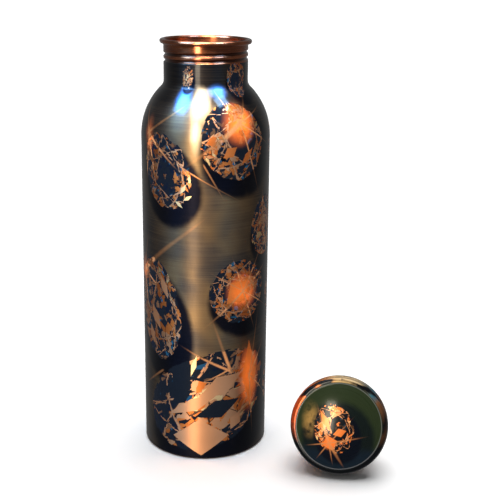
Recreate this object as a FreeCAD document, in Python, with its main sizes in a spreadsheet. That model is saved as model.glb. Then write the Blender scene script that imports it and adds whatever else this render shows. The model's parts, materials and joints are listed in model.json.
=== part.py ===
import FreeCAD, Part
import math
import os
import Sketcher

# Copper water bottle, standing open, with its screw lid leaning on the floor beside it.
# Frame: +Z up, millimetres, origin at the centre of the foot.
SIZES = {
    # shell of the bottle
    "wall": 0.6,
    "body_r": 38.0,
    "foot_edge": 1.4,
    "foot_width": 5.0,
    "shoulder_z": 193.4,
    "shoulder_r": 40.0,
    "blend_r": 5.0,
    "neck_r": 24.55,
    "lip_r": 26.72,
    "total_height": 249.0,
    # rolled screw thread of the neck
    "thread_z": 236.0,
    "thread_pitch": 3.5,
    "thread_turns": 2.0,
    "thread_depth": 0.9,
    "groove_half": 1.15,
    "groove_floor": 0.35,
    "ridge_root": 0.2,
    "cutter_clearance": 0.3,
    "flank_slack": 0.1,
    # disc let into the foot
    "dish_z": 4.6,
    "dish_edge": 1.5,
    "solder_gap": 0.03,
    # lid, measured up its own axis from the tip of the plug
    "plug_reach": 18.0,
    "plug_r": 22.75,
    "plug_crest_r": 23.65,
    "plug_thread_z": 6.85,
    "rim_r": 28.8,
    "hem_r": 0.5,
    "hem_slope": 0.4,
    "skirt_height": 9.0,
    "rib_first": 3.2,
    "rib_pitch": 1.9,
    "rib_half": 0.6,
    "rib_rise": 0.4,
    "cap_shoulder": 2.6,
    "dome_r": 25.5,
    "edge_bead": 0.5,
    "bead_fullness": 1.15,
    "dome_rise": 6.0,
    "seat_height": 5.6,
    # sealing washer
    "gasket_gap": 0.05,
    "gasket_r": 26.6,
    "gasket_thick": 2.0,
    "gasket_edge": 0.4,
    # where the lid lies
    "lid_x": 82.1,
    "lid_y": -42.4,
    "lid_turned": 7.8,
}
RIBS = 3

doc = FreeCAD.newDocument("copper_bottle")
dim = doc.addObject("Spreadsheet::Sheet", "dim")
for row, (alias, size) in enumerate(SIZES.items(), start=1):
    dim.set("A%d" % row, alias)
    dim.set("B%d" % row, str(size))
    dim.setAlias("B%d" % row, alias)
doc.recompute()


def own_plane(body, role):
    """One of the body's own origin planes."""
    return [plane for plane in body.Origin.OriginFeatures if plane.Role == role][0]


def new_body(label):
    body = doc.addObject("PartDesign::Body", label)
    body.Label = label
    return body


def arc_between(start, end, radius):
    """The short arc of that radius; it bulges to the right of its travel when radius is positive."""
    chord = end - start
    side = math.copysign(1.0, radius)
    radius = abs(radius)
    rise = math.sqrt(max(radius ** 2 - chord.Length ** 2 / 4, 0.0))
    left = FreeCAD.Vector(-chord.y, chord.x, 0).normalize()
    centre = (start + end) / 2 + left * rise * side
    middle = centre - left * radius * side
    return Part.Arc(start, middle, end)


def outline(body, name, role, corners):
    """A closed outline with every corner bound to the sheet.

    A corner is (across, up), or (across, up, radius) when an arc runs from it to the next one.
    A minus sign in front of the radius turns the bulge to the left of its travel.
    """
    sketch = body.newObject("Sketcher::SketchObject", name)
    sketch.AttachmentSupport = [(own_plane(body, role), "")]
    sketch.MapMode = "FlatFace"
    doc.recompute()
    points = []
    for corner in corners:
        across, up = [float(sketch.evalExpression(text)) for text in corner[:2]]
        points.append(FreeCAD.Vector(across, up, 0))
    for index, corner in enumerate(corners):
        start = points[index]
        end = points[(index + 1) % len(points)]
        if len(corner) == 2:
            sketch.addGeometry(Part.LineSegment(start, end))
        else:
            radius = float(sketch.evalExpression(corner[2]))
            sketch.addGeometry(arc_between(start, end, radius))
    ends = edge_ends(sketch, points)
    for index, corner in enumerate(corners):
        following = (index + 1) % len(corners)
        sketch.addConstraint(
            Sketcher.Constraint("Coincident", index, ends[index][1], following, ends[following][0])
        )
        for kind, text, value in zip(("DistanceX", "DistanceY"), corner, points[index]):
            pin_corner(sketch, kind, index, ends[index][0], text, value)
        if len(corner) == 3:
            text = corner[2].lstrip("-")
            size = abs(float(sketch.evalExpression(text)))
            number = sketch.addConstraint(Sketcher.Constraint("Radius", index, size))
            sketch.setExpression("Constraints[%d]" % number, text)
    return sketch


def edge_ends(sketch, points):
    """The point numbers of each edge's start and end; an arc may have been stored reversed."""
    ends = []
    for index, start in enumerate(points):
        first = sketch.getPoint(index, 1)
        ends.append((1, 2) if first.distanceToPoint(start) < 1e-6 else (2, 1))
    return ends


def pin_corner(sketch, kind, edge, end, text, value):
    """Fixes one coordinate of a corner to the sheet, or puts the corner on the axis."""
    if abs(value) < 1e-9:
        axis = -2 if kind == "DistanceX" else -1
        sketch.addConstraint(Sketcher.Constraint("PointOnObject", edge, end, axis))
        return
    number = sketch.addConstraint(Sketcher.Constraint(kind, -1, 1, edge, end, value))
    sketch.setExpression("Constraints[%d]" % number, text)


def turn(body, name, sketch):
    """A full turn of the outline about the body's upright axis."""
    feature = body.newObject("PartDesign::Revolution", name)
    feature.Profile = sketch
    feature.ReferenceAxis = (sketch, ["V_Axis"])
    feature.Angle = 360.0
    sketch.Visibility = False
    doc.recompute()
    return feature


def wind(body, kind, name, sketch):
    """A right-handed screw ridge or groove of the outline."""
    feature = body.newObject("PartDesign::" + kind, name)
    feature.Profile = sketch
    feature.ReferenceAxis = (sketch, ["V_Axis"])
    feature.Mode = "pitch-height-angle"
    feature.setExpression("Pitch", "dim.thread_pitch")
    feature.setExpression("Height", "dim.thread_pitch * dim.thread_turns")
    feature.LeftHanded = False
    sketch.Visibility = False
    doc.recompute()
    return feature


def shoulder_points(inset):
    """The shoulder arc's foot, its change into the neck blend, and the blend's top, as formulas.

    inset is how far the face lies inside the outer one.
    """
    big = "(dim.shoulder_r - %s)" % inset
    small = "(dim.blend_r + %s)" % inset
    wall_r = "dim.body_r - %s" % inset
    neck_r = "dim.neck_r - %s" % inset
    run = "(dim.neck_r + dim.blend_r - dim.body_r + dim.shoulder_r)"
    rise = "sqrt((dim.shoulder_r + dim.blend_r)^2 - %s^2)" % run
    share = "%s / (dim.shoulder_r + dim.blend_r)" % big
    change = (
        "dim.body_r - dim.shoulder_r + %s * %s" % (run, share),
        "dim.shoulder_z + %s * %s" % (rise, share),
    )
    return (wall_r, "dim.shoulder_z"), change, (neck_r, "dim.shoulder_z + %s" % rise), big, small


def make_bottle_body():
    """Spun shell: turned-in foot, straight wall, shoulder, neck and outward curled lip."""
    body = new_body("bottle_body")
    wall_foot, change, neck_foot, big, small = shoulder_points("0")
    in_wall, in_change, in_neck, in_big, in_small = shoulder_points("dim.wall")
    curl = "(dim.lip_r - dim.neck_r + dim.wall) / 2"
    curl_x = "(dim.lip_r + dim.neck_r - dim.wall) / 2"
    curl_z = "dim.total_height - " + curl
    foot_r = "dim.body_r - dim.foot_edge"
    foot_inner = "dim.body_r - dim.foot_width"
    sketch = outline(body, "shell_section", "XZ_Plane", [
        (foot_inner, "0"),
        (foot_r, "0", "dim.foot_edge"),
        ("dim.body_r", "dim.foot_edge"),
        wall_foot + (big,),
        change + ("-" + small,),
        neck_foot,
        ("dim.neck_r", curl_z, "-(%s - dim.wall)" % curl),
        (curl_x, "dim.total_height - dim.wall", "-(%s - dim.wall)" % curl),
        ("dim.lip_r - dim.wall", curl_z, "-(%s - dim.wall)" % curl),
        (curl_x, "%s - %s + dim.wall" % (curl_z, curl)),
        (curl_x, "%s - %s" % (curl_z, curl), curl),
        ("dim.lip_r", curl_z, curl),
        (curl_x, "dim.total_height", curl),
        ("dim.neck_r - dim.wall", curl_z),
        in_neck + (in_small,),
        in_change + ("-" + in_big,),
        in_wall,
        ("dim.body_r - dim.wall", "dim.foot_edge", "-(dim.foot_edge - dim.wall)"),
        (foot_r, "dim.wall"),
        (foot_inner, "dim.wall"),
    ])
    turn(body, "shell", sketch)

    inner_r = "dim.neck_r - dim.wall"
    ridge = outline(body, "ridge_section", "YZ_Plane", [
        (inner_r + " + dim.ridge_root", "dim.thread_z - dim.groove_half - dim.wall / 2"),
        (inner_r + " + dim.ridge_root", "dim.thread_z + dim.groove_half + dim.wall / 2"),
        (inner_r + " - dim.thread_depth", "dim.thread_z + dim.groove_floor + dim.wall / 3"),
        (inner_r + " - dim.thread_depth", "dim.thread_z - dim.groove_floor - dim.wall / 3"),
    ])
    wind(body, "AdditiveHelix", "inner_ridge", ridge)
    groove = outline(body, "groove_section", "YZ_Plane", [
        ("dim.neck_r + dim.cutter_clearance", "dim.thread_z - dim.groove_half"),
        ("dim.neck_r + dim.cutter_clearance", "dim.thread_z + dim.groove_half"),
        ("dim.neck_r - dim.thread_depth", "dim.thread_z + dim.groove_floor"),
        ("dim.neck_r - dim.thread_depth", "dim.thread_z - dim.groove_floor"),
    ])
    wind(body, "SubtractiveHelix", "outer_groove", groove)
    return body


def make_base_plate():
    """Dished disc let into the foot: its turned-down flange is brazed to the wall, above the foot's curve."""
    body = new_body("base_plate")
    flange_r = "dim.body_r - dim.wall - dim.solder_gap"
    top = "dim.dish_z + dim.wall"
    sketch = outline(body, "dish_section", "XZ_Plane", [
        ("0", "dim.dish_z"),
        (flange_r + " - dim.dish_edge", "dim.dish_z", "dim.dish_edge - dim.wall"),
        (flange_r + " - dim.wall", "dim.dish_z - dim.dish_edge + dim.wall"),
        (flange_r + " - dim.wall", "dim.foot_edge"),
        (flange_r, "dim.foot_edge"),
        (flange_r, top + " - dim.dish_edge", "dim.dish_edge"),
        (flange_r + " - dim.dish_edge", top),
        ("0", top),
    ])
    turn(body, "dish", sketch)
    return body


def lid_level(text=""):
    """A height up the lid's axis, counted from the plane of its rim."""
    return "dim.plug_reach" + text


def make_lid_shell():
    """Spun cap: hemmed rim, skirt with rolled ribs, rounded shoulder, edge bead and dome."""
    body = new_body("lid_shell")
    skirt_in = "dim.rim_r - 2 * dim.hem_r"
    skirt_r = skirt_in + " + dim.wall"
    hem_z = lid_level(" + dim.hem_r")
    hem_top = lid_level(" + 3 * dim.hem_r")
    shoulder_z = lid_level(" + dim.skirt_height")
    ledge_z = shoulder_z + " + dim.cap_shoulder"
    ledge_r = skirt_r + " - dim.cap_shoulder"
    bead_z = ledge_z + " + 2 * dim.edge_bead"
    bead_out = "dim.dome_r - dim.edge_bead"
    bead_in = "dim.dome_r - 2 * dim.edge_bead"
    dome = "(((%s)^2 + dim.dome_rise^2) / (2 * dim.dome_rise))" % bead_in
    dome_in = "(%s - dim.wall)" % dome
    under_r = "sqrt(%s^2 - (%s - dim.dome_rise)^2)" % (dome_in, dome)
    rib_arc = "((dim.rib_half^2 + dim.rib_rise^2) / (2 * dim.rib_rise))"
    corners = [
        (skirt_in, hem_z, "dim.hem_r"),
        (skirt_in + " + dim.hem_r", lid_level(), "dim.hem_r"),
        ("dim.rim_r", hem_z),
        ("dim.rim_r", hem_top),
        (skirt_r, hem_top + " + dim.hem_slope"),
    ]
    for rib in range(RIBS):
        middle = lid_level(" + dim.rib_first + %d * dim.rib_pitch" % rib)
        corners += [
            (skirt_r, middle + " - dim.rib_half", rib_arc),
            (skirt_r, middle + " + dim.rib_half"),
        ]
    corners += [
        (skirt_r, shoulder_z, "dim.cap_shoulder"),
        (ledge_r, ledge_z),
        (bead_out, ledge_z, "dim.edge_bead * dim.bead_fullness"),
        (bead_out, bead_z),
        (bead_in, bead_z, dome),
        ("0", bead_z + " + dim.dome_rise"),
        ("0", bead_z + " + dim.dome_rise - dim.wall", "-" + dome_in),
        (under_r, bead_z),
        (bead_in + " - dim.wall", ledge_z + " - dim.wall"),
        (ledge_r, ledge_z + " - dim.wall", "-(dim.cap_shoulder - dim.wall)"),
        (skirt_in, shoulder_z),
    ]
    turn(body, "cap", outline(body, "cap_section", "XZ_Plane", corners))
    return body


def make_lid_plug():
    """Spun cup with a male thread, hung from a flange that fills the skirt."""
    body = new_body("lid_plug")
    inner_r = "dim.plug_r - dim.wall"
    seat_z = lid_level(" + dim.seat_height")
    flange_r = "dim.rim_r - 2 * dim.hem_r - dim.solder_gap"
    sketch = outline(body, "cup_section", "XZ_Plane", [
        ("0", "0"),
        ("dim.plug_r - dim.hem_r", "0", "dim.hem_r"),
        ("dim.plug_r", "dim.hem_r"),
        ("dim.plug_r", seat_z),
        (flange_r, seat_z),
        (flange_r, seat_z + " + dim.wall"),
        (inner_r, seat_z + " + dim.wall"),
        (inner_r, "dim.wall"),
        ("0", "dim.wall"),
    ])
    turn(body, "cup", sketch)
    root_r = "dim.plug_r - dim.ridge_root"
    ridge = outline(body, "ridge_section", "YZ_Plane", [
        (root_r, "dim.plug_thread_z - dim.groove_half + dim.flank_slack"),
        ("dim.plug_crest_r", "dim.plug_thread_z - dim.groove_floor"),
        ("dim.plug_crest_r", "dim.plug_thread_z + dim.groove_floor"),
        (root_r, "dim.plug_thread_z + dim.groove_half - dim.flank_slack"),
    ])
    wind(body, "AdditiveHelix", "outer_ridge", ridge)
    return body


def make_lid_gasket():
    """Silicone washer round the root of the plug, under its flange."""
    body = new_body("lid_gasket")
    hole_r = "dim.plug_r + dim.gasket_gap"
    top = lid_level(" + dim.seat_height - dim.gasket_gap")
    bottom = top + " - dim.gasket_thick"
    sketch = outline(body, "washer_section", "XZ_Plane", [
        (hole_r, bottom),
        ("dim.gasket_r - dim.gasket_edge", bottom, "dim.gasket_edge"),
        ("dim.gasket_r", bottom + " + dim.gasket_edge"),
        ("dim.gasket_r", top + " - dim.gasket_edge", "dim.gasket_edge"),
        ("dim.gasket_r - dim.gasket_edge", top),
        (hole_r, top),
    ])
    turn(body, "washer", sketch)
    return body


def lid_placement():
    """The lid lies on its rim and on the edge of its plug, so the dome looks up and forward."""
    lean = math.atan2(dim.rim_r - dim.plug_r, dim.plug_reach)
    upright_to_lean = FreeCAD.Rotation(FreeCAD.Vector(1, 0, 0), 90 - math.degrees(lean))
    turned = FreeCAD.Rotation(FreeCAD.Vector(0, 0, 1), -dim.lid_turned)
    rotation = turned * upright_to_lean
    hem_height = (dim.rim_r - dim.hem_r) * math.cos(lean) + dim.hem_r
    hem_centre = FreeCAD.Vector(dim.lid_x, dim.lid_y, hem_height)
    from_tip = rotation.multVec(FreeCAD.Vector(0, 0, dim.plug_reach + dim.hem_r))
    return FreeCAD.Placement(hem_centre - from_tip, rotation)


def check(body):
    """Stops the build when a feature failed or the shape isn't sound."""
    for item in [body] + list(body.Group):
        if "Invalid" in item.State or "Error" in item.State:
            raise RuntimeError("%s in %s failed" % (item.Name, body.Label))
    if body.Shape.isNull() or not body.Shape.isValid():
        raise RuntimeError("%s has no sound shape" % body.Label)


bottle_parts = [make_bottle_body(), make_base_plate()]
lid_parts = [make_lid_shell(), make_lid_plug(), make_lid_gasket()]
for body in lid_parts:
    body.Placement = lid_placement()
doc.recompute()

os.makedirs("parts", exist_ok=True)
for body in bottle_parts + lid_parts:
    check(body)
    body.Shape.exportStep(os.path.join("parts", body.Label + ".step"))
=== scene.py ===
import json
import math

import bpy
from mathutils import Matrix, Vector


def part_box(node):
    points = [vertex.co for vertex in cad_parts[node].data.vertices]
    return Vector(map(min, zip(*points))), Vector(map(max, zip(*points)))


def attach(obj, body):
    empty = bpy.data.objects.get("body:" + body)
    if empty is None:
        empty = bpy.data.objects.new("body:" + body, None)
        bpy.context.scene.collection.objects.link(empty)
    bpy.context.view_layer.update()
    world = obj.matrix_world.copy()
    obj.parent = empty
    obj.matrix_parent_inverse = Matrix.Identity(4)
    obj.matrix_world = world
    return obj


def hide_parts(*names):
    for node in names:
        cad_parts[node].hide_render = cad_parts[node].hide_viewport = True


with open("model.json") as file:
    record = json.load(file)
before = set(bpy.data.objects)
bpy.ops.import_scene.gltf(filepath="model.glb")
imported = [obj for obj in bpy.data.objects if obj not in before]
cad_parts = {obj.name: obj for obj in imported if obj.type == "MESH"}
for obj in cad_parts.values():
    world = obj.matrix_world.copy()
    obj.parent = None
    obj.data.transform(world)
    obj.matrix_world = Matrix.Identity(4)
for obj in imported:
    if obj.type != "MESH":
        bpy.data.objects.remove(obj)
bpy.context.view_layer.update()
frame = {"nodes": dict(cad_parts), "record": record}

MM = 0.001

# ---------------------------------------------------------------- sizes, in millimetres
WALL = 0.6
BODY_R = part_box("bottle_body")[1][0] / MM
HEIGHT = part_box("bottle_body")[1][2] / MM
FOOT_EDGE = 1.4
FOOT_WIDTH = 5.0
SHOULDER_Z = 193.4
SHOULDER_R = 40.0
BLEND_R = 5.0
NECK_R = 24.55
LIP_R = 26.72
PRINT_TOP = 236.6

# radii this close count as one, and points this close as the same point
CLOSE = 0.01
TINY = 1e-4

# the neck's thread, the turns over which it fades in, and the band of fine rings that holds it
THREAD_Z = 236.0
THREAD_PITCH = 3.5
THREAD_TURNS = 2.0
THREAD_DEPTH = 0.9
THREAD_HALF = 1.25
THREAD_FADE = (-0.02, 0.16)
THREAD_LOW = 234.0
THREAD_HIGH = 245.0
THREAD_RINGS = 88

# the lid's plug, in the lid's own frame, and its thread
PLUG_REACH = 18.0
PLUG_R = 22.75
PLUG_FLAT_R = PLUG_R - 1.3
PLUG_CREST_R = 23.65
PLUG_THREAD_Z = 6.85
PLUG_THREAD_HALF = 1.15
PLUG_THREAD_LOW = 4.6
PLUG_THREAD_HIGH = 15.6
CREST_CLEARANCE = 0.05
SOLDER_GAP = 0.03

# the lid's cap; SKIRT_HEIGHT, SEAT_HEIGHT, RIB_FIRST and RIBS_END are measured from its rim
RIM_R = 28.8
HEM_R = 0.5
SKIRT_R = RIM_R - 2 * HEM_R + WALL
SKIRT_HEIGHT = 9.0
RIB_COUNT = 3
RIB_FIRST = 3.2
RIB_PITCH = 1.9
RIBS_END = 7.7
RIB_HALF = 0.6
RIB_RISE = 0.4
CAP_SHOULDER = 2.6
DOME_R = 25.5
EDGE_BEAD = 0.5
DOME_RISE = 6.0
SEAT_HEIGHT = 5.6

# the washer: the edge of its hole and its sealing groove are lists of (across, up from its lower face)
GASKET_GAP = 0.05
GASKET_R = 26.6
GASKET_THICK = 2.0
GASKET_EDGE = 0.4
GASKET_HOLE_EDGE = ((0.0, 0.3), (0.1, 0.08), (0.3, 0.0))
GASKET_GROOVE = ((-0.5, 0.0), (-0.25, 0.22), (0.0, 0.3), (0.25, 0.22), (0.5, 0.0))

BOTTLE_SIDES = 288
LID_SIDES = 224
GASKET_SIDES = 192


# ---------------------------------------------------------------- objects
def add_object(name, data):
    made = bpy.data.objects.new(name, data)
    bpy.context.scene.collection.objects.link(made)
    return made


def add_mesh(name, verts, faces):
    mesh = bpy.data.meshes.new(name)
    mesh.from_pydata(verts, [], faces)
    return add_object(name, mesh)


def paint(piece, material):
    piece.data.materials.clear()
    piece.data.materials.append(material)


# ---------------------------------------------------------------- turned shapes
def arc(centre, radius, start, end, steps):
    """Points on an arc in a section, from one angle to another, in degrees from outward."""
    points = []
    for step in range(steps + 1):
        angle = math.radians(start + (end - start) * step / steps)
        points.append((centre[0] + radius * math.cos(angle), centre[1] + radius * math.sin(angle)))
    return points


def run(start, end, steps, eased=False):
    """Points on a straight run, without its two ends.

    Eased points gather towards both ends, which keeps the shading of a long run flat.
    """
    points = []
    for step in range(1, steps):
        share = 0.5 - 0.5 * math.cos(math.pi * step / steps) if eased else step / steps
        points.append((start[0] + (end[0] - start[0]) * share, start[1] + (end[1] - start[1]) * share))
    return points


def without_doubles(section):
    """The section's points, less any that repeats the one before it."""
    kept = []
    for corner in section:
        if not kept or math.dist(corner, kept[-1]) > TINY:
            kept.append(corner)
    if math.dist(kept[0], kept[-1]) < TINY:
        kept.pop()
    return kept


def lathe(name, section, sides, shape=None):
    """A solid turned from a closed section of (radius, height) points that runs counter-clockwise.

    shape(radius, height, angle) may give each point its own radius. Points on the axis are shared.
    """
    section = without_doubles(section)
    verts = []
    rings = []
    for radius, height in section:
        if radius < TINY:
            rings.append([len(verts)] * sides)
            verts.append((0.0, 0.0, height * MM))
            continue
        ring = []
        for side in range(sides):
            angle = 2 * math.pi * side / sides
            size = shape(radius, height, angle) if shape else radius
            ring.append(len(verts))
            verts.append((size * MM * math.cos(angle), size * MM * math.sin(angle), height * MM))
        rings.append(ring)
    faces = []
    for index, ring in enumerate(rings):
        upper = rings[(index + 1) % len(rings)]
        for side in range(sides):
            after = (side + 1) % sides
            corners = [ring[side], ring[after], upper[after], upper[side]]
            corners = list(dict.fromkeys(corners))
            if len(corners) > 2:
                faces.append(corners)
    piece = add_mesh(name, verts, faces)
    piece.data.validate()
    piece.data.shade_smooth()
    return piece


def smooth_step(low, high, value):
    """0 below low and 1 above high, with a soft rise between."""
    share = min(max((value - low) / (high - low), 0.0), 1.0)
    return share * share * (3 - 2 * share)


def thread_share(height, angle, first, half):
    """How deep a screw groove is here, from 0 to 1.

    It starts at the back, at the height that first says, and fades in and out over a part of a turn.
    """
    turned = (angle - math.pi / 2) / (2 * math.pi)
    best = 0.0
    for lap in range(-1, int(THREAD_TURNS) + 2):
        turns = turned + lap
        offset = abs(height - first - THREAD_PITCH * turns)
        if offset > half:
            continue
        start = smooth_step(*THREAD_FADE, turns)
        end = smooth_step(*THREAD_FADE, THREAD_TURNS - turns)
        best = max(best, start * end * (0.5 + 0.5 * math.cos(math.pi * offset / half)) ** 0.8)
    return best


def shoulder_join():
    """The height of the centre of the neck's blend, and the angle at which the shoulder's arc meets it."""
    across = NECK_R + BLEND_R - BODY_R + SHOULDER_R
    rise = math.sqrt((SHOULDER_R + BLEND_R) ** 2 - across ** 2)
    angle = math.degrees(math.atan2(rise, across))
    return SHOULDER_Z + rise, angle


def bottle_section():
    """The shell's closed section: up the outside, over the curled lip, and down the inside."""
    blend_z, join = shoulder_join()
    big = (BODY_R - SHOULDER_R, SHOULDER_Z)
    small = (NECK_R + BLEND_R, blend_z)
    curl_r = (LIP_R - NECK_R + WALL) / 2
    curl = ((LIP_R + NECK_R - WALL) / 2, HEIGHT - curl_r)
    foot = (BODY_R - FOOT_EDGE, FOOT_EDGE)
    foot_in = BODY_R - FOOT_WIDTH
    body_in = BODY_R - WALL
    neck_in = NECK_R - WALL
    section = [(foot_in, 0.0)]
    section += run((foot_in, 0), (foot[0], 0), 4)
    section += arc(foot, FOOT_EDGE, -90, 0, 10)
    section += run((BODY_R, FOOT_EDGE), (BODY_R, SHOULDER_Z), 60, eased=True)
    section += arc(big, SHOULDER_R, 0, join, 40)
    section += arc(small, BLEND_R, 180 + join, 180, 12)
    section += run((NECK_R, blend_z), (NECK_R, THREAD_LOW), 14)
    section += run((NECK_R, THREAD_LOW), (NECK_R, THREAD_HIGH), THREAD_RINGS)
    section += run((NECK_R, THREAD_HIGH), (NECK_R, curl[1]), 6)
    section += arc(curl, curl_r - WALL, 180, -90, 20)
    section += arc(curl, curl_r, -90, 180, 34)
    section += run((neck_in, curl[1]), (neck_in, THREAD_HIGH), 6)
    section += run((neck_in, THREAD_HIGH), (neck_in, THREAD_LOW), THREAD_RINGS)
    section += run((neck_in, THREAD_LOW), (neck_in, blend_z), 14)
    section += arc(small, BLEND_R + WALL, 180, 180 + join, 12)
    section += arc(big, SHOULDER_R - WALL, join, 0, 40)
    section += run((body_in, SHOULDER_Z), (body_in, FOOT_EDGE), 60, eased=True)
    section += arc(foot, FOOT_EDGE - WALL, 0, -90, 8)
    section += run((foot[0], WALL), (foot_in, WALL), 4)
    section.append((foot_in, WALL))
    return section


def rolled_neck(radius, height, angle):
    """Presses the screw thread into the neck, inner and outer face alike."""
    on_neck = NECK_R - WALL - CLOSE < radius < NECK_R + CLOSE
    if not (on_neck and THREAD_LOW < height < THREAD_HIGH):
        return radius
    return radius - THREAD_DEPTH * thread_share(height, angle, THREAD_Z, THREAD_HALF)


def make_bottle():
    piece = lathe("bottle_shell", bottle_section(), BOTTLE_SIDES, rolled_neck)
    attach(piece, "bottle")
    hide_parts("bottle_body")
    return piece


# ---------------------------------------------------------------- lid
def lid_matrix():
    """The lid's own frame at rest: origin at the tip of its plug, +Z out through the dome."""
    joints = frame["record"]["behaviour"]["joints"]
    joint = next(item for item in joints if item["name"] == "lid_turn")
    up = Vector(joint["axis"]).normalized()
    across = Vector((0, 0, 1)).cross(up).normalized()
    onward = up.cross(across)
    turned = Matrix((across, onward, up)).transposed().to_4x4()
    return Matrix.Translation(Vector(joint["pos_m"])) @ turned


def place_on_lid(piece, body):
    """Moves a piece's mesh from the lid's own frame to where the lid lies."""
    piece.data.transform(lid_matrix())
    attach(piece, body)


def lid_shell_section():
    base = PLUG_REACH
    inner = RIM_R - 2 * HEM_R
    ledge_z = base + SKIRT_HEIGHT + CAP_SHOULDER
    ledge_r = SKIRT_R - CAP_SHOULDER
    bead_z = ledge_z + 2 * EDGE_BEAD
    bead_in = DOME_R - 2 * EDGE_BEAD
    dome = (bead_in ** 2 + DOME_RISE ** 2) / (2 * DOME_RISE)
    dome_centre = (0.0, bead_z + DOME_RISE - dome)
    open_angle = math.degrees(math.asin(bead_in / dome))
    under = math.sqrt((dome - WALL) ** 2 - (dome - DOME_RISE) ** 2)
    under_angle = math.degrees(math.asin(under / (dome - WALL)))
    hem = (RIM_R - HEM_R, base + HEM_R)
    rib_r = (RIB_HALF ** 2 + RIB_RISE ** 2) / (2 * RIB_RISE)
    rib_open = math.degrees(math.asin(RIB_HALF / rib_r))
    section = arc(hem, HEM_R, -180, 0, 14)
    section += run((RIM_R, base + HEM_R), (RIM_R, base + 3 * HEM_R), 3)
    section += arc((SKIRT_R, base + 3 * HEM_R), RIM_R - SKIRT_R, 0, 90, 8)
    for rib in range(RIB_COUNT):
        middle = base + RIB_FIRST + rib * RIB_PITCH
        section += arc((SKIRT_R + RIB_RISE - rib_r, middle), rib_r, -rib_open, rib_open, 8)
    section += run((SKIRT_R, base + RIBS_END), (SKIRT_R, base + SKIRT_HEIGHT), 4)
    section += arc((ledge_r, base + SKIRT_HEIGHT), CAP_SHOULDER, 0, 90, 14)
    section += run((ledge_r, ledge_z), (DOME_R - EDGE_BEAD, ledge_z), 3)
    section += arc((DOME_R - EDGE_BEAD, ledge_z + EDGE_BEAD), EDGE_BEAD, -90, 90, 12)
    section += run((DOME_R - EDGE_BEAD, bead_z), (bead_in, bead_z), 3)
    section += arc(dome_centre, dome, 90 - open_angle, 90, 48)
    section += arc(dome_centre, dome - WALL, 90, 90 - under_angle, 30)
    section += arc((ledge_r, base + SKIRT_HEIGHT), CAP_SHOULDER - WALL, 90, 0, 10)
    section += run((inner, base + SKIRT_HEIGHT), (inner, base + HEM_R), 10)
    return section


def make_lid_shell():
    piece = lathe("lid_cap", lid_shell_section(), LID_SIDES)
    place_on_lid(piece, "lid")
    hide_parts("lid_shell")
    return piece


def lid_plug_section():
    seat = PLUG_REACH + SEAT_HEIGHT
    flange = RIM_R - 2 * HEM_R - SOLDER_GAP
    inner = PLUG_R - WALL
    section = [(0.0, 0.0)]
    section += run((0, 0), (PLUG_FLAT_R, 0), 8)
    section += arc((PLUG_R - HEM_R, HEM_R), HEM_R, -90, 0, 8)
    section += run((PLUG_R, HEM_R), (PLUG_R, PLUG_THREAD_LOW), 8)
    section += run((PLUG_R, PLUG_THREAD_LOW), (PLUG_R, PLUG_THREAD_HIGH), THREAD_RINGS)
    section += run((PLUG_R, PLUG_THREAD_HIGH), (PLUG_R, seat), 10)
    section += [(PLUG_R, seat)]
    section += run((PLUG_R, seat), (flange, seat), 5)
    section += [(flange, seat), (flange, seat + WALL)]
    section += run((flange, seat + WALL), (inner, seat + WALL), 5)
    section += [(inner, seat + WALL)]
    section += run((inner, seat + WALL), (inner, WALL), 12)
    section += [(inner, WALL)]
    section += run((inner, WALL), (0, WALL), 8)
    section += [(0.0, WALL)]
    return section


def rolled_plug(radius, height, angle):
    """Raises the male thread on the outside of the cup."""
    if not (abs(radius - PLUG_R) < CLOSE and PLUG_THREAD_LOW < height < PLUG_THREAD_HIGH):
        return radius
    rise = PLUG_CREST_R - PLUG_R - CREST_CLEARANCE
    return radius + rise * thread_share(height, angle, PLUG_THREAD_Z, PLUG_THREAD_HALF)


def make_lid_plug():
    piece = lathe("lid_stopper", lid_plug_section(), LID_SIDES, rolled_plug)
    place_on_lid(piece, "lid")
    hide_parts("lid_plug")
    return piece


def gasket_section():
    """A washer with soft edges and a fine sealing groove in its lower face."""
    hole = PLUG_R + GASKET_GAP
    top = PLUG_REACH + SEAT_HEIGHT - GASKET_GAP
    low = top - GASKET_THICK
    middle = (hole + GASKET_R) / 2
    edge = GASKET_R - GASKET_EDGE
    section = [(hole + across, low + up) for across, up in GASKET_HOLE_EDGE]
    groove = [(middle + across, low + up) for across, up in GASKET_GROOVE]
    section += run(section[-1], groove[0], 3)
    section += groove
    section += run(groove[-1], (edge, low), 3)
    section += arc((edge, low + GASKET_EDGE), GASKET_EDGE, -90, 0, 6)
    section += arc((edge, top - GASKET_EDGE), GASKET_EDGE, 0, 90, 6)
    section += run((edge, top), (hole, top), 6)
    section += [(hole, top)]
    return section


def make_gasket():
    piece = lathe("lid_washer", gasket_section(), GASKET_SIDES)
    place_on_lid(piece, "gasket")
    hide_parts("lid_gasket")
    return piece


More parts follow.
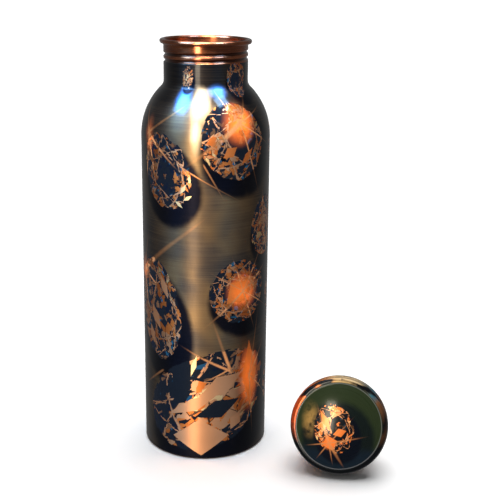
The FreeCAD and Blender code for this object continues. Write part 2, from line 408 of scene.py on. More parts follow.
# ---------------------------------------------------------------- arithmetic in node trees
class Plan:
    """A material's nodes, which are listed as sums and shapes and then made and joined all at once."""

    def __init__(self, name, **fixed):
        self.material = bpy.data.materials.new(name)
        self.material.use_nodes = True
        self.tree = self.material.node_tree
        self.shader = self.tree.nodes["Principled BSDF"]
        self.steps = []
        for socket, value in fixed.items():
            self.shader.inputs[socket.replace("_", " ")].default_value = value

    def add(self, kind, inputs, output=0, ready=None, **settings):
        """Lists a node. Each input, named or numbered, is a plain value or a wire."""
        self.steps.append((kind, inputs, ready, settings))
        return Wire(self, len(self.steps) - 1, output)

    def make(self, **shown):
        """Makes the nodes and joins them to the shader's sockets."""
        made = {}
        for step, (kind, _, ready, settings) in enumerate(self.steps):
            node = self.tree.nodes.new(kind)
            for setting, value in settings.items():
                setattr(node, setting, value)
            if ready:
                ready(node)
            made[step] = node
        for step, node in made.items():
            for socket, value in self.steps[step][1].items():
                self.join(made, node.inputs[socket], value)
        for socket, value in shown.items():
            self.join(made, self.shader.inputs[socket.replace("_", " ")], value)
        return self.material

    def join(self, made, socket, value):
        if isinstance(value, Wire):
            self.tree.links.new(made[value.step].outputs[value.output], socket)
        else:
            socket.default_value = value


class Wire:
    """One output of a listed node. Numbers have Python's own arithmetic."""

    def __init__(self, plan, step, output):
        self.plan = plan
        self.step = step
        self.output = output

    def also(self, output):
        return Wire(self.plan, self.step, output)

    def act(self, operation, *others):
        return self.plan.add("ShaderNodeMath", dict(enumerate((self, *others))), operation=operation)

    def __add__(self, other):
        return self.act("ADD", other)

    def __sub__(self, other):
        return self.act("SUBTRACT", other)

    def __mul__(self, other):
        return self.act("MULTIPLY", other)

    def __rsub__(self, other):
        return self.act("MULTIPLY_ADD", -1.0, other)

    def abs(self):
        return self.act("ABSOLUTE")

    def min(self, other):
        return self.act("MINIMUM", other)

    def max(self, other):
        return self.act("MAXIMUM", other)

    def over(self, limit):
        """1 above the limit and 0 below it."""
        return self.act("GREATER_THAN", limit)

    def under(self, limit):
        """1 below the limit and 0 above it."""
        return self.act("LESS_THAN", limit)


def bent(plan, operation, *values):
    """A vector worked out from vectors."""
    return plan.add("ShaderNodeVectorMath", dict(enumerate(values)), operation=operation)


def gauged(plan, operation, *values):
    """A number worked out from vectors."""
    return plan.add("ShaderNodeVectorMath", dict(enumerate(values)), output="Value", operation=operation)


def split(plan, vector):
    first = plan.add("ShaderNodeSeparateXYZ", {0: vector})
    return first, first.also(1), first.also(2)


def point(plan, *parts):
    return plan.add("ShaderNodeCombineXYZ", dict(enumerate(parts)))


def from_axis(x, y):
    return (x * x + y * y).act("SQRT")


def local(plan, place, centre, turn, size):
    """The place in the frame of something at a centre, turned (degrees) and sized."""
    inputs = {"Vector": place, "Location": centre, "Rotation": (0, 0, math.radians(turn)), "Scale": size}
    return plan.add("ShaderNodeMapping", inputs, vector_type="TEXTURE")


def paced(plan, place, value):
    """The same place, which can't be used before the value is known.

    Cycles works in a small stack, and this keeps long lists of marks from filling it.
    """
    return bent(plan, "ADD", place, point(plan, 0.0, 0.0, value * 1e-7))


def ramp(value, low, high, start=0.0, end=1.0):
    """A soft step of the value from start, at low, to end, at high."""
    inputs = dict(enumerate((value, low, high, start, end)))
    return value.plan.add("ShaderNodeMapRange", inputs, interpolation_type="SMOOTHSTEP")


def choose(share, first, second):
    """first where share is 0 and second where it is 1, for numbers."""
    return share.plan.add("ShaderNodeMix", {0: share, 2: first, 3: second})


def choose_place(share, first, second):
    return share.plan.add("ShaderNodeMix", {0: share, 4: first, 5: second}, output=1, data_type="VECTOR")


def tint(share, first, second):
    """A colour between the first and the second."""
    return share.plan.add("ShaderNodeMix", {0: share, 6: first, 7: second}, output=2, data_type="RGBA")


def noise(plan, place, scale, detail=2.0, roughness=0.5):
    inputs = {"Vector": place, "Scale": scale, "Detail": detail, "Roughness": roughness}
    return plan.add("ShaderNodeTexNoise", inputs)


def chance(plan, *seeds):
    """A random number from 0 to 1 that is the same wherever the seeds are."""
    return plan.add("ShaderNodeTexWhiteNoise", {"Vector": point(plan, *seeds)}, noise_dimensions="3D")


def cells(plan, place, scale, feature="F1"):
    return plan.add("ShaderNodeTexVoronoi", {"Vector": place, "Scale": scale}, feature=feature)


def shards(plan, place, scale):
    """A random number for each straight-edged cell."""
    return split(plan, cells(plan, place, scale).also("Color"))[0]


def stepped(value, *bands):
    """A colour that changes at once at each limit: (lowest value, colour), in rising order."""
    def set_bands(node):
        node.color_ramp.interpolation = "CONSTANT"
        stops = node.color_ramp.elements
        stops[0].position, stops[0].color = bands[0]
        stops[1].position, stops[1].color = bands[1]
        for limit, colour in bands[2:]:
            stops.new(limit).color = colour

    return value.plan.add("ShaderNodeValToRGB", {0: value}, ready=set_bands)


def blended(value, *stops):
    """A colour that changes evenly between the stops: (value, colour), in rising order."""
    def set_stops(node):
        ends = node.color_ramp.elements
        ends[0].position, ends[0].color = stops[0]
        ends[1].position, ends[1].color = stops[-1]
        for place, colour in stops[1:-1]:
            ends.new(place).color = colour

    return value.plan.add("ShaderNodeValToRGB", {0: value}, ready=set_stops)


def turned_place(plan, matrix=None):
    """A turned piece's own coordinates in millimetres, and a number that is negative on its inner faces."""
    source = plan.add("ShaderNodeTexCoord", {}, output="Object")
    frame_of = matrix or Matrix.Identity(4)
    turn = frame_of.to_euler()
    spot = {"Vector": source, "Location": frame_of.translation, "Rotation": turn, "Scale": (MM, MM, MM)}
    spot = plan.add("ShaderNodeMapping", spot, vector_type="TEXTURE")
    normal = {"Vector": source.also("Normal"), "Location": (0, 0, 0), "Rotation": turn}
    normal = plan.add("ShaderNodeMapping", normal, vector_type="TEXTURE")
    return spot, gauged(plan, "DOT_PRODUCT", bent(plan, "MULTIPLY", spot, (1, 1, 0)), normal)


def bump(plan, height, distance, strength):
    return plan.add("ShaderNodeBump", {"Strength": strength, "Distance": distance, "Height": height})


# ---------------------------------------------------------------- the print
BLACK = (0.002, 0.003, 0.005, 1)
NAVY = (0.0008, 0.002, 0.006, 1)
# the next two colours are painted reflections: a sky blue and a pale light
SKY_REFLECTION = (0.07, 0.19, 0.46, 1)
PALE_REFLECTION = (0.40, 0.31, 0.19, 1)
TEAL = (0.004, 0.025, 0.045, 1)
UMBER = (0.05, 0.022, 0.010, 1)
COPPER = (0.60, 0.15, 0.03, 1)
PEACH = (0.58, 0.25, 0.11, 1)
CREAM = (0.72, 0.46, 0.20, 1)
GLOW = (0.85, 0.15, 0.015, 1)
BEAM = (0.50, 0.19, 0.065, 1)
BRONZE = (0.165, 0.092, 0.040, 1)
SMOKE = (0.055, 0.040, 0.032, 1)
BRUSHED = (0.30, 0.19, 0.09, 1)
DOME_BLACK = (0.003, 0.006, 0.006, 1)
# the next colour is the dome's lit band: painted light
DOME_GREEN = (0.014, 0.022, 0.009, 1)
DOME_BLUE = (0.003, 0.008, 0.016, 1)
# the next colour is a painted highlight on the dome
GOLD_HIGHLIGHT = (0.34, 0.20, 0.06, 1)
# the next colour is a painted highlight along the lid's edge bead
RIM_HIGHLIGHT = (0.25, 0.25, 0.27, 1)

# bare metal and the washer
SPUN = (0.37, 0.11, 0.042, 1)
TARNISHED = (0.14, 0.036, 0.016, 1)
POLISHED = (0.52, 0.19, 0.085, 1)
# near-black painted shade for the neck's thread grooves
GROOVE_SHADE = (0.03, 0.012, 0.008, 1)
SILICONE = (0.80, 0.78, 0.73, 1)
SILICONE_SHADE = (0.70, 0.68, 0.63, 1)

# how many marks, or gems, are worked out before the place is paced again
PACE = 4
GEM_PACE = 3

# marks further from the front than this, in degrees, are also drawn past the picture's other edge
NEAR_BACK = 140

# turned_place's second number is below this on inner faces
INNER = -0.1

# a gem's shadow, in parts of the gem's own half size: its shift, its size and where it is full
SHADOW_SHIFT = (0.2, -0.35)
SHADOW_SIZE = (1.45, 1.35)
SHADOW_FULL = 0.72

# a cut gem, in parts of its radius: the table's edge, and where star facets end and girdle facets start
TABLE_EDGE = 0.55
STAR_TIP = 0.74

# a ray is this many half widths wide, its two sides are alike, and it ends nine times as soon backwards
RAY_WIDTH = 1.25
RAY_FOLD = (-9, -1, 0)

# a gem's shards: the lowest brightness of each colour, and the brightness at which metal starts
METAL_FROM = 0.575
SHARD_BANDS = [
    (0.0, BLACK), (0.30, NAVY), (0.35, BLACK), (0.43, UMBER), (0.46, BLACK), (0.50, TEAL),
    (0.508, BLACK), (METAL_FROM, COPPER), (0.70, PEACH), (0.84, CREAM),
]

# the single facets' colours: the lowest shade, the highest, the colour and how metallic it is
FACET_SHADES = [
    (0.0, 0.5, BLACK, 0.0), (0.5, 0.69, COPPER, 0.9), (0.69, 0.9, PEACH, 0.95), (0.9, 1.1, CREAM, 0.95),
]

# gems round the bottle: angle from the front, height, half width, half height, tilt
BOTTLE_GEMS = [
    (29, 195, 20, 22, 25), (-36, 177, 16, 22, 20), (68, 143, 14, 18, -8), (-46, 93, 17, 31, 10),
    (35, 106, 19, 19, 0), (6, 38, 43, 29, 27), (106, 190, 19, 21, -15), (98, 92, 16, 24, 10),
    (110, 34, 26, 22, -20), (142, 138, 22, 26, 20), (172, 192, 20, 20, 0), (168, 68, 28, 34, -25),
    (-148, 148, 18, 20, 10), (-134, 42, 26, 28, 20), (-106, 196, 18, 21, -10), (-98, 104, 20, 25, 15),
    (47, 229, 11, 10, 0), (-22, 229, 5, 6, 0), (130, 228, 14, 9, 10), (-120, 229, 14, 9, -10),
]

# painted reflections on the ground: soft blue patches of sky and pale patches of light; angle, height, half
# width, half height
BOTTLE_SKY_REFLECTIONS = [(-22, 218, 8, 10), (17, 222, 10, 5), (150, 214, 9, 8), (-150, 212, 8, 9)]
BOTTLE_PALE_REFLECTIONS = [(-3, 214, 9, 13), (-5, 198, 5, 14), (168, 208, 9, 12)]

# glows where light bursts: angle, height, half width, half height
BOTTLE_GLOWS = [
    (34, 205, 13, 15), (-56, 198, 6, 12), (-69, 116, 7, 10), (38, 106, 13, 14), (47, 51, 10, 26),
    (108, 184, 10, 10), (100, 60, 9, 12), (150, 122, 11, 11), (172, 52, 12, 12), (-140, 160, 10, 10),
    (-122, 58, 10, 12), (-94, 118, 8, 8),
]

# bursts of rays: angle and height of the bright end, then each ray's faint end and its half width
BOTTLE_BURSTS = [
    ((-56, 198), [
        (-44, 163, 0.8), (-19, 177, 0.9), (-14, 216, 0.9), (-62, 160, 0.6), (-72, 218, 0.6),
    ]),
    ((34, 205), [
        (-18, 179, 1.7), (50, 221, 1.2), (58, 160, 0.6), (78, 188, 0.5), (8, 226, 0.5),
        (70, 214, 0.5),
    ]),
    ((-17, 180), [(40, 158, 0.5)]),
    ((2, 181), [(21, 159, 0.6)]),
    ((-66, 115), [(9, 155, 1.6)]),
    ((-69, 116), [(-30, 102, 0.6), (-60, 84, 0.7), (-58, 142, 0.5)]),
    ((38, 106), [
        (-4, 82, 0.9), (25, 131, 0.5), (2, 121, 0.4), (76, 122, 0.7), (78, 89, 0.4), (55, 76, 0.5),
        (70, 140, 0.5),
    ]),
    ((25, 58), [(5, 97, 1.1)]),
    ((25, 57), [(-25, 75, 0.9)]),
    ((25, 58), [(-2, 50, 0.6)]),
    ((47, 51), [(75, 76, 0.7), (80, 29, 0.5), (52, 8, 0.6), (60, 98, 0.5)]),
    ((-41, 54), [(-70, 39, 0.8)]),
    ((66, 140), [(84, 112, 0.6), (62, 172, 0.5)]),
    ((108, 184), [(88, 150, 0.9), (132, 214, 0.7), (100, 222, 0.5), (140, 166, 0.6)]),
    ((100, 60), [(122, 92, 0.8), (84, 34, 0.7), (130, 44, 0.5), (82, 82, 0.5)]),
    ((150, 122), [(128, 166, 0.9), (174, 150, 0.7), (162, 86, 0.7), (118, 112, 0.5)]),
    ((172, 52), [(150, 88, 0.9), (178, 14, 0.7), (140, 36, 0.6)]),
    ((172, 190), [(150, 214, 0.6), (178, 150, 0.6)]),
    ((-140, 160), [(-112, 186, 0.9), (-164, 196, 0.7), (-152, 116, 0.8), (-110, 140, 0.5)]),
    ((-122, 58), [(-100, 92, 0.8), (-148, 84, 0.7), (-112, 22, 0.7), (-158, 40, 0.6)]),
    ((-94, 118), [(-78, 146, 0.7), (-116, 134, 0.6), (-82, 84, 0.7), (-120, 96, 0.5)]),
]
BOTTLE_RAYS = [(*start, *end) for start, ends in BOTTLE_BURSTS for end in ends]

# large single facets: angle, height, half length, half width, tilt, shade
BOTTLE_FACETS = [
    (-2, 14.5, 17.5, 12, 2, 0.80), (-8, 36, 19, 4.0, 27, 0.78), (17, 48, 15, 6.5, 27, 0.75),
    (-8, 61, 7, 1.6, 75, 0.95), (-37, 108, 7.5, 2.4, 112, 0.72), (-48, 88, 8.5, 3.2, 118, 0.74),
    (-54, 76, 6, 2.6, 108, 0.70), (24, 189, 5, 3.2, 35, 0.62), (41, 186, 6, 2, 50, 0.60),
    (-20, 40, 9, 4, 40, 0.10), (14, 33, 15, 6, 20, 0.12), (-20, 55, 11, 7, 60, 0.14),
    (47, 52, 22, 6, 92, 0.58), (33, 106, 10, 8, 40, 0.60), (31, 24, 6.5, 4, 60, 0.70),
    (-17, 168, 3.4, 1.2, 60, 0.92), (-13, 163, 3, 1.1, 30, 0.92), (-21, 159, 3, 1, 140, 0.92),
]


def find_gem(plan, place, broken, gems):
    """Where the broken place is in its gem, and the gem's number; 1 inside gems; how deep the shadow is."""
    held = point(plan, 0.0, 0.0, 0.0)
    cover = None
    shade = None
    for count, (across, up, half_width, half_height, tilt, number) in enumerate(gems, start=1):
        own = local(plan, broken, (across, up, -number), tilt, (half_width, half_height, 1))
        inside = gauged(plan, "LENGTH", bent(plan, "MULTIPLY", own, (1, 1, 0))).under(1.0)
        held = choose_place(inside, held, own)
        cover = inside if cover is None else cover.max(inside)
        low_centre = (across + half_width * SHADOW_SHIFT[0], up + half_height * SHADOW_SHIFT[1], 0)
        low_size = (half_width * SHADOW_SIZE[0], half_height * SHADOW_SIZE[1], 1)
        near = gauged(plan, "LENGTH", local(plan, place, low_centre, tilt, low_size))
        shade = near if shade is None else shade.min(near)
        if count % GEM_PACE == 0:
            place = paced(plan, place, shade + cover)
            broken = paced(plan, broken, shade + cover)
    return held, cover, ramp(shade, 1.0, SHADOW_FULL)


def cut_facets(x, y, number):
    """A leaning round brilliant: its facet's random number, how near an edge is, and the distance out."""
    plan = x.plan
    lean = (chance(plan, number, 3.0, 1.0) - 0.5) * 0.8
    pull = 1.0 - (x * x + y * y)
    x = x + lean * pull
    y = y + (0.5 - lean.abs()) * 0.6 * pull
    size = from_axis(x, y)
    sector = y.act("ARCTAN2", x) * (4 / math.pi)
    whole = (sector + 0.5).act("FLOOR")
    turned = (sector - whole) * (math.pi / 4)
    along = size * turned.act("COSINE")
    side = (size * turned.act("SINE")).abs()
    beyond = along.over(TABLE_EDGE)
    star = (STAR_TIP - along) * 1.2 - side
    girdle = (along - STAR_TIP) * 2.08 - side
    in_star = star.over(0.0) * beyond
    in_girdle = girdle.over(0.0)
    in_kite = beyond * (1.0 - in_star) * (1.0 - in_girdle)
    which = choose(in_kite, whole, sector.act("FLOOR") + 0.3)
    which = choose(in_girdle, which, (sector * 2.0).act("FLOOR") + 0.6)
    kind = in_star + in_kite * 2.0 + in_girdle * 3.0
    flat = chance(plan, kind * 7.3, (which + 9.0) * beyond, number * 3.1)
    line = (along - TABLE_EDGE).abs().min(star.abs() + (1.0 - beyond))
    line = line.min(girdle.abs() * 0.6 + (1.0 - beyond))
    return flat, line, size


def gem_colour(plan, held):
    """Black and copper shards inside a gem, broken along the facets of a round brilliant."""
    x, y, number = split(plan, held)
    number = number.act("ROUND")
    flat, line, size = cut_facets(x, y, number)
    warped = point(plan, x + flat * 3.0, y + flat * 1.7, number)
    coarse = shards(plan, warped, 3.8)
    fine = shards(plan, point(plan, x * 0.8 + y * 0.5, y - x * 0.4 + flat, number * 2.0), 8.0)
    rim = ramp(size, 0.5, 1.0)
    light = flat * 0.36 + coarse * 0.38 + fine * choose(rim, 0.26, 0.40) - rim * 0.10
    colour = stepped(light, *SHARD_BANDS)
    metal = light.over(METAL_FROM)
    edge = cells(plan, warped, 3.8, "DISTANCE_TO_EDGE")
    dark_line = ramp(edge, 0.03, 0.015)
    glint = ramp(line, 0.026, 0.012) * fine.over(0.30)
    colour = tint(glint, tint(dark_line * 0.9, colour, BLACK), PEACH)
    return colour, metal.max(glint)


def nearest_mark(plan, place, marks, reach_of):
    """The smallest reach_of(place, *mark) of the marks: 0 in the middle of a mark and 1 at its edge."""
    nearest = None
    for number, mark in enumerate(marks, start=1):
        reach = reach_of(place, *mark)
        nearest = reach if nearest is None else nearest.min(reach)
        if number % PACE == 0:
            place = paced(plan, place, nearest)
    return nearest


def diamonds(plan, place, marks):
    """Long diamonds: 0 in the middle and 1 at the edge."""
    def reach_of(place, across, up, half_length, half_width, turn):
        own = local(plan, place, (across, up, 0), turn, (half_length, half_width, 1))
        return gauged(plan, "DOT_PRODUCT", bent(plan, "ABSOLUTE", own), (1, 1, 0))

    return nearest_mark(plan, place, marks, reach_of)


def rays_of(plan, place, marks, stretch):
    """Rays that are widest at their bright end: 0 along the middle and 1 at the edge.

    stretch is the length of one unit across, for marks whose places across are in degrees.
    """
    def reach_of(place, start_across, start_up, end_across, end_up, half_width):
        across = (end_across - start_across) * stretch
        up = end_up - start_up
        turn = math.degrees(math.atan2(up, across))
        size = (math.hypot(across, up), half_width * RAY_WIDTH, 1)
        own = local(plan, place, (start_across * stretch, start_up, 0), turn, size)
        return gauged(plan, "LENGTH", bent(plan, "MAXIMUM", own, bent(plan, "MULTIPLY", own, RAY_FOLD)))

    return nearest_mark(plan, place, marks, reach_of)


def glows_of(plan, place, marks):
    """Soft round spots: 1 in the middle and 0 at the edge."""
    def reach_of(place, across, up, half_width, half_height):
        own = local(plan, place, (across, up, 0), 0, (half_width, half_height, 1))
        return gauged(plan, "LENGTH", own)

    return ramp(nearest_mark(plan, place, marks, reach_of), 1.0, 0.1)


def numbered(gems):
    """Gives each gem a number of its own, which decides how it is cut."""
    return [(*gem, number) for number, gem in enumerate(gems, start=1)]


def round_the_back(marks, angles=(0,)):
    """The marks, and again, a full turn on, those near the back, where the picture's edges meet.

    angles says which of a mark's values are angles.
    """
    again = []
    for mark in marks:
        if abs(mark[0]) > NEAR_BACK:
            moved = list(mark)
            for item in angles:
                moved[item] += math.copysign(360, -mark[0])
            again.append(tuple(moved))
    return marks + again


def in_millimetres(marks):
    """Turns the angle that each mark starts with into a distance round the bottle."""
    return [(math.radians(mark[0]) * BODY_R, *mark[1:]) for mark in round_the_back(marks)]


def jagged(plan, place):
    """Shifts whole cells of the place a little, so that outlines break up like cut stone."""
    jumps = bent(plan, "SUBTRACT", cells(plan, place, 0.22).also("Color"), (0.5, 0.5, 0.5))
    return bent(plan, "ADD", place, bent(plan, "MULTIPLY", jumps, (1.5, 1.5, 0)))


def print_over(plan, place, ground, metal, grit, gems, glows, rays, facets, stretch):
    """The picture over a ground colour: shadows, gems, single facets, glows and rays."""
    held, cover, shade = find_gem(plan, place, jagged(plan, place), gems)
    place = paced(plan, place, shade)
    colour = tint(ramp(shade * ramp(grit, 0.2, 0.6, 0.75, 1.0), 0.1, 0.9) * 0.97, ground, NAVY)
    inner, inner_metal = gem_colour(plan, held)
    colour = tint(cover, colour, inner)
    metal = choose(cover, metal, inner_metal)
    for members, facet_colour, facet_metal in facets:
        inside = diamonds(plan, place, members).under(1.0)
        colour = tint(inside, colour, facet_colour)
        metal = choose(inside, metal, facet_metal)
        place = paced(plan, place, inside)
    glow = glows_of(plan, place, glows)
    ray = rays_of(plan, paced(plan, place, glow), rays, stretch)
    heat = glow * ramp(grit, 0.2, 0.65, 0.55, 1.0) * choose(cover, 0.4, 0.8)
    colour = tint(heat, colour, GLOW)
    metal = metal * (1.0 - heat * 0.5)
    beam = ramp(ray, 1.0, 0.15) * ramp(grit, 0.25, 0.6, 0.45, 0.9)
    colour = tint(beam, colour, BEAM)
    return colour, metal.max(beam * 0.6)


def facet_groups(facets):
    """Sorts the single facets by shade: dark, copper, peach and cream."""
    groups = []
    for low, high, colour, metal in FACET_SHADES:
        members = [facet[:5] for facet in facets if low <= facet[5] < high]
        if members:
            groups.append((members, colour, metal))
    return groups


def turned_grain(plan, x, y, up, fineness):
    """Fine lines that run round a turned piece, from 0 to 1."""
    near = noise(plan, point(plan, x * 0.03, y * 0.03, up * fineness), 1.0, 3.0, 0.65)
    wide = noise(plan, point(plan, x * 0.01, y * 0.01, up * fineness * 0.3), 1.0, 1.0, 0.5)
    return near * 0.8 + wide * 0.2


def bare_copper_colour(plan, x, y, up, grain):
    """Spun copper, darker where it has tarnished."""
    patches = noise(plan, point(plan, x * 0.06, y * 0.06, up * 0.13), 1.0, 3.0, 0.6)
    colour = tint(ramp(patches, 0.35, 0.66), SPUN, TARNISHED)
    return tint(ramp(grain, 0.3, 0.8) * 0.35, colour, POLISHED)


def bottle_ground(plan, spot, place, angle, up, grit, grain):
    """The colour behind the gems, and the place, paced: bronze at the front, painted shade on the sides, a
    dark neck, and painted reflections of light and sky on the shoulder.
    """
    cloud = noise(plan, spot, 0.028, 2.0, 0.5)
    ground = tint(ramp(cloud, 0.40, 0.62), BRONZE, SMOKE)
    # painted shade: seen from the front, the sides darken towards navy, and the ground clears again towards
    # the back
    side = ramp(angle.abs(), 0.50, 1.10) * ramp(angle.abs(), 2.6, 1.9)
    ground = tint(side * 0.85, ground, NAVY)
    neck = ramp(up + grit * 6.0, 213.0, 221.0)
    ground = tint(neck * 0.85, ground, BLACK)
    ground = tint(ramp(grain, 0.40, 0.75) * (0.28 - neck * 0.2), ground, BRUSHED)
    # painted reflections on the shoulder: pale patches of light, then soft blue patches of sky
    pale = glows_of(plan, place, in_millimetres(BOTTLE_PALE_REFLECTIONS)) * ramp(grit, 0.2, 0.6, 0.5, 1.0)
    ground = tint(pale * 0.7, ground, PALE_REFLECTION)
    sky_reflection = glows_of(plan, paced(plan, place, pale), in_millimetres(BOTTLE_SKY_REFLECTIONS))
    sky_reflection = sky_reflection * ramp(grit, 0.25, 0.5, 0.6, 1.0)
    ground = tint(sky_reflection * 0.65, ground, SKY_REFLECTION)
    return ground, paced(plan, place, sky_reflection)


def bottle_print_material():
    """Brushed copper under a lacquered print; bare copper inside and above the print."""
    plan = Plan(
        "printed_copper_lacquer", Coat_Weight=1.0, Coat_Roughness=0.09, Coat_IOR=1.2,
        Specular_IOR_Level=0.05, Anisotropic=0.8, Anisotropic_Rotation=0.25,
    )
    spot, outward = turned_place(plan)
    x, y, up = split(plan, spot)
    angle = x.act("ARCTAN2", y * -1.0)
    place = point(plan, angle * BODY_R, up, 0.0)
    grit = noise(plan, spot, 0.09, 4.0, 0.6)
    grain = turned_grain(plan, x, y, up, 5.0)
    ground, place = bottle_ground(plan, spot, place, angle, up, grit, grain)
    colour, metal = print_over(
        plan, place, ground, 0.95, grit,
        in_millimetres(numbered(BOTTLE_GEMS)), in_millimetres(BOTTLE_GLOWS),
        round_the_back(BOTTLE_RAYS, (0, 2)), facet_groups(in_millimetres(BOTTLE_FACETS)),
        math.radians(BODY_R),
    )
    bare = up.over(PRINT_TOP).max(outward.under(INNER)).max(up.under(WALL / 2))
    radius = from_axis(x, y)
    # painted shade: the neck's outside darkens towards near black inside its thread grooves
    groove = ramp(radius, NECK_R - 0.1, NECK_R - 0.8) * up.over(PRINT_TOP) * outward.over(0.0)
    copper = bare_copper_colour(plan, x, y, up, grain)
    copper = tint(groove * 0.85, copper, GROOVE_SHADE)
    rough = choose(bare, ramp(grain, 0.2, 0.8, 0.34, 0.46), ramp(grain, 0.2, 0.8, 0.20, 0.32))
    return plan.make(
        Base_Color=tint(bare, colour, copper), Metallic=choose(bare, metal, 1.0), Roughness=rough,
        Normal=bump(plan, grain, 0.00002, 0.35),
    )


def bare_copper_material(name, matrix=None):
    plan = Plan(name, Metallic=1.0, Anisotropic=0.4, Anisotropic_Rotation=0.25)
    spot, _ = turned_place(plan, matrix)
    x, y, up = split(plan, spot)
    grain = turned_grain(plan, x, y, up + from_axis(x, y), 2.6)
    return plan.make(
        Base_Color=bare_copper_colour(plan, x, y, up, grain),
        Roughness=ramp(grain, 0.2, 0.8, 0.22, 0.42), Normal=bump(plan, grain, 0.00003, 0.4),
    )


# the dome's picture, and its painted gold highlight, in millimetres right of and above its middle as it
# lies
LID_GEMS = [(-2.5, -1.0, 11, 14, 22)]
# painted highlight: a gold patch on the dome's left, where the key light reflects
LID_GOLD_HIGHLIGHTS = [(-16.5, 3.0, 6.5, 13)]
LID_GLOWS = [(-5.0, -9.5, 5.0, 5.0)]
LID_RAYS = [
    (-5, -9.5, -14, 14.5, 1.0), (-5, -9.5, 5, -25, 1.1), (-5, -9.5, -2, -24, 0.5),
    (-5, -9.5, -13, -21, 0.5), (-5, -9.5, -20, -12.5, 0.5), (-5, -9.5, 19, -4, 0.6),
    (-5, -9.5, 10, 8, 0.4),
]
LID_FACETS = [(-7.5, 3, 7, 2.0, 120, 0.6), (1, -3, 4, 2.6, 20, 0.6), (-4.5, -9.5, 4.6, 4.6, 20, 0.6)]

# the skirt's colours: how far round, from 0 to 1, and the colour there
SKIRT_BANDS = [
    (0.0, (0.20, 0.035, 0.012, 1)), (0.07, BLACK), (0.42, BLACK), (0.47, UMBER), (0.52, BLACK),
    (0.59, (0.16, 0.07, 0.03, 1)), (0.63, (0.03, 0.13, 0.19, 1)), (0.68, (0.26, 0.19, 0.10, 1)),
    (0.77, (0.30, 0.20, 0.09, 1)), (0.83, (0.50, 0.14, 0.03, 1)), (0.93, (0.36, 0.05, 0.012, 1)),
]


def dome_ground(plan, place, x, y, grit):
    """The colour behind the dome's gem, with a painted light band towards its edge and a painted gold
    highlight, and how strong that highlight is.
    """
    # painted light: the dome's dark print turns olive green in a lit band towards its upper edge, as it
    # lies
    painted_light_band = ramp((x * x + (y + 7.0) * (y + 7.0)).act("SQRT") + grit * 2.0, 20.0, 24.5)
    ground = tint(painted_light_band, DOME_BLACK, DOME_GREEN)
    ground = tint(ramp(y + grit * 3.0, -8.0, -15.0), ground, DOME_BLUE)
    # painted highlight: a gold patch where the key light reflects
    gold_highlight = glows_of(plan, place, LID_GOLD_HIGHLIGHTS) * ramp(grit, 0.25, 0.6)
    return tint(gold_highlight * 0.8, ground, GOLD_HIGHLIGHT), gold_highlight


def skirt_colour(plan, x, y, up, angle):
    """Streaks of colour that change round the lid's skirt."""
    streaks = noise(plan, point(plan, angle * 1.5, up * 0.5, 5.0), 1.0, 2.0, 0.5)
    round_it = y.act("ARCTAN2", x) * (0.5 / math.pi) + 0.5 + (streaks - 0.5) * 0.12
    skirt = blended(round_it, *SKIRT_BANDS)
    return tint(ramp(streaks, 0.52, 0.60), skirt, BLACK)


def lid_print_material(matrix):
    """The lid's print under lacquer: a dark dome, one gem with its burst, and streaks round the skirt."""
    plan = Plan(
        "printed_lid_lacquer", Coat_Weight=1.0, Coat_Roughness=0.16, Coat_IOR=1.25,
        Specular_IOR_Level=0.05,
    )
    spot, outward = turned_place(plan, matrix)
    x, y, up = split(plan, spot)
    angle = x.act("ARCTAN2", y * -1.0)
    radius = from_axis(x, y)
    place = point(plan, x, y, 0.0)
    grit = noise(plan, spot, 0.16, 4.0, 0.6)
    grain = turned_grain(plan, x, y, radius, 2.4)
    ground, gold_highlight = dome_ground(plan, place, x, y, grit)
    # the painted gold highlight also makes the dome more metallic there
    colour, metal = print_over(
        plan, place, ground, gold_highlight * 0.8 + 0.1, grit, numbered(LID_GEMS), LID_GLOWS, LID_RAYS,
        facet_groups(LID_FACETS), 1.0,
    )
    skirt = skirt_colour(plan, x, y, up, angle)
    on_skirt = radius.over(DOME_R + 0.02)
    # painted highlight: a thin grey line along the edge bead between the dome and the skirt
    rim_highlight = ramp((radius - DOME_R + EDGE_BEAD).abs(), 0.4, 0.1)
    colour = tint(rim_highlight * 0.25, tint(on_skirt, colour, skirt), RIM_HIGHLIGHT)
    inside = outward.under(INNER)
    colour = tint(inside, colour, bare_copper_colour(plan, x, y, up, grain))
    metal = choose(on_skirt, metal * 0.3, 0.5).max(inside)
    return plan.make(
        Base_Color=colour, Metallic=metal, Roughness=ramp(grain, 0.2, 0.8, 0.24, 0.36),
        Normal=bump(plan, grain, 0.00002, 0.2),
    )


def silicone_material():
    plan = Plan("silicone_washer", IOR=1.43)
    spot, _ = turned_place(plan)
    specks = noise(plan, spot, 0.9, 3.0, 0.6)
    return plan.make(
        Base_Color=tint(ramp(specks, 0.3, 0.7), SILICONE, SILICONE_SHADE),
        Roughness=ramp(specks, 0.3, 0.7, 0.42, 0.58), Normal=bump(plan, specks, 0.00005, 0.3),
    )


# ---------------------------------------------------------------- stage, in metres and degrees
FLOOR_HALF = 12.0
BACKDROP_R = 11.5
BACKDROP_LOW = -0.1
BACKDROP_HIGH = 9.0
BACKDROP_SIDES = 96
PAPER = (0.97, 0.97, 0.97, 1)
WHITE = (1.0, 1.0, 1.0, 1)
WORLD_STRENGTH = 0.18

# soft panels: name, place, the point they face, width, depth, watts, colour
MIDDLE = (0, 0, 0.13)
SHOULDER = (0, 0, 0.2)
KEY = ("key", (-0.36, -1.04, 0.50), MIDDLE, 0.26, 0.9, 16, (1.0, 0.90, 0.70))
WINDOWS = [
    ("window_left", (-0.62, -0.40, 1.0), SHOULDER, 0.50, 0.50, 48, (0.22, 0.52, 1.0)),
    ("window_right", (0.44, -0.34, 1.10), SHOULDER, 0.36, 0.30, 26, (0.30, 0.58, 1.0)),
    ("overhead", (-0.06, -0.42, 1.05), SHOULDER, 0.44, 0.62, 30, (1.0, 0.95, 0.86)),
]

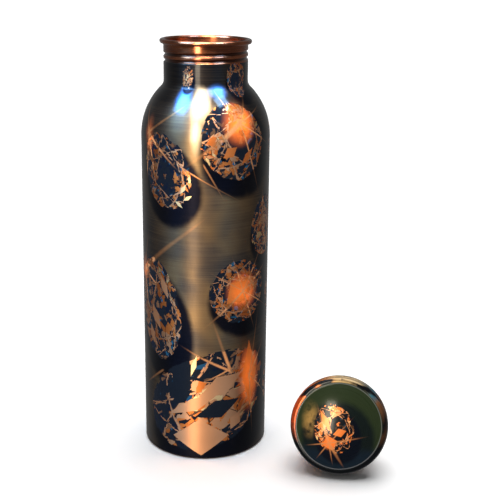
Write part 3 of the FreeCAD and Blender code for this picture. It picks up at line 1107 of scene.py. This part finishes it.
CEILING_STRENGTH = 3.5
CEILING_SPREAD = 60
CEILING_LEAN = -12

CAMERA_PLACE = (0.02714, -0.58336, 0.29444)
CAMERA_VIEW = 28.2425
CAMERA_DOWN = 16.447
CAMERA_ROLL = 0.81


def turning(angle, axis):
    return Matrix.Rotation(math.radians(angle), 4, axis)


def make_floor():
    """A wide pale floor, which polished metal doesn't mirror, so that its blacks stay deep."""
    half = FLOOR_HALF
    corners = [(-half, -half, 0), (half, -half, 0), (half, half, 0), (-half, half, 0)]
    floor = add_mesh("floor", corners, [(0, 1, 2, 3)])
    floor.visible_glossy = False
    paper = Plan("floor_paper", Roughness=0.9, Specular_IOR_Level=0.1, Base_Color=PAPER)
    paint(floor, paper.material)


def make_backdrop():
    """A white wall all round, far off, which only the camera sees."""
    verts = []
    faces = []
    for side in range(BACKDROP_SIDES):
        angle = 2 * math.pi * side / BACKDROP_SIDES
        across, along = BACKDROP_R * math.cos(angle), BACKDROP_R * math.sin(angle)
        verts += [(across, along, BACKDROP_LOW), (across, along, BACKDROP_HIGH)]
        low = 2 * side
        after = 2 * ((side + 1) % BACKDROP_SIDES)
        faces.append((low, after, after + 1, low + 1))
    backdrop = add_mesh("backdrop", verts, faces)
    backdrop.visible_diffuse = False
    backdrop.visible_glossy = False
    backdrop.visible_shadow = False
    paper = Plan("backdrop_paper", Emission_Color=WHITE, Emission_Strength=1.0, Roughness=1.0)
    paint(backdrop, paper.material)


def make_world():
    world = bpy.data.worlds.new("studio")
    world.use_nodes = True
    background = world.node_tree.nodes["Background"]
    background.inputs["Color"].default_value = WHITE
    background.inputs["Strength"].default_value = WORLD_STRENGTH
    bpy.context.scene.world = world


def add_light(name, data, matrix):
    light = add_object(name, data)
    light.matrix_world = matrix
    return light


def panel_light(name, place, aim, width, depth, watts, colour, lit):
    """A soft panel that lights only a group of pieces, so that the floor stays even."""
    data = bpy.data.lights.new(name, "AREA")
    data.shape = "RECTANGLE"
    data.size = width
    data.size_y = depth
    data.energy = watts
    data.color = colour
    turn = (Vector(aim) - Vector(place)).to_track_quat("-Z", "Y").to_matrix().to_4x4()
    light = add_light(name, data, Matrix.Translation(place) @ turn)
    light.light_linking.receiver_collection = lit


def lit_group(name, pieces):
    group = bpy.data.collections.new(name)
    for piece in pieces:
        group.objects.link(piece)
    return group


def make_lights(bottle, pieces):
    """A warm key on all the pieces, three windows on the bottle only, and a soft ceiling on everything."""
    everything = lit_group("lit_by_key", pieces)
    bottle_only = lit_group("lit_by_windows", [bottle])
    panel_light(*KEY, everything)
    for window in WINDOWS:
        panel_light(*window, bottle_only)
    data = bpy.data.lights.new("ceiling", "SUN")
    data.energy = CEILING_STRENGTH
    data.angle = math.radians(CEILING_SPREAD)
    add_light("ceiling", data, turning(CEILING_LEAN, "X"))


def make_camera():
    """The photograph's viewpoint, 0.58 m in front of the bottle's axis and a little to its right."""
    data = bpy.data.cameras.new("camera")
    data.sensor_width = 36.0
    data.angle = math.radians(CAMERA_VIEW)
    data.clip_start = 0.01
    camera = add_object("camera", data)
    look_down = turning(90 - CAMERA_DOWN, "X")
    camera.matrix_world = Matrix.Translation(CAMERA_PLACE) @ look_down @ turning(CAMERA_ROLL, "Z")
    bpy.context.scene.camera = camera


bottle_print = bottle_print_material()
lid_print = lid_print_material(lid_matrix())
copper = bare_copper_material("bare_spun_copper")
lid_copper = bare_copper_material("bare_lid_copper", lid_matrix())

pieces = [make_bottle(), make_lid_shell(), make_lid_plug(), make_gasket(), frame["nodes"]["base_plate"]]
for piece, material in zip(pieces, (bottle_print, lid_print, lid_copper, silicone_material(), copper)):
    paint(piece, material)

make_floor()
make_backdrop()
make_world()
make_lights(pieces[0], pieces)
make_camera()
bpy.context.scene.view_settings.view_transform = "Standard"
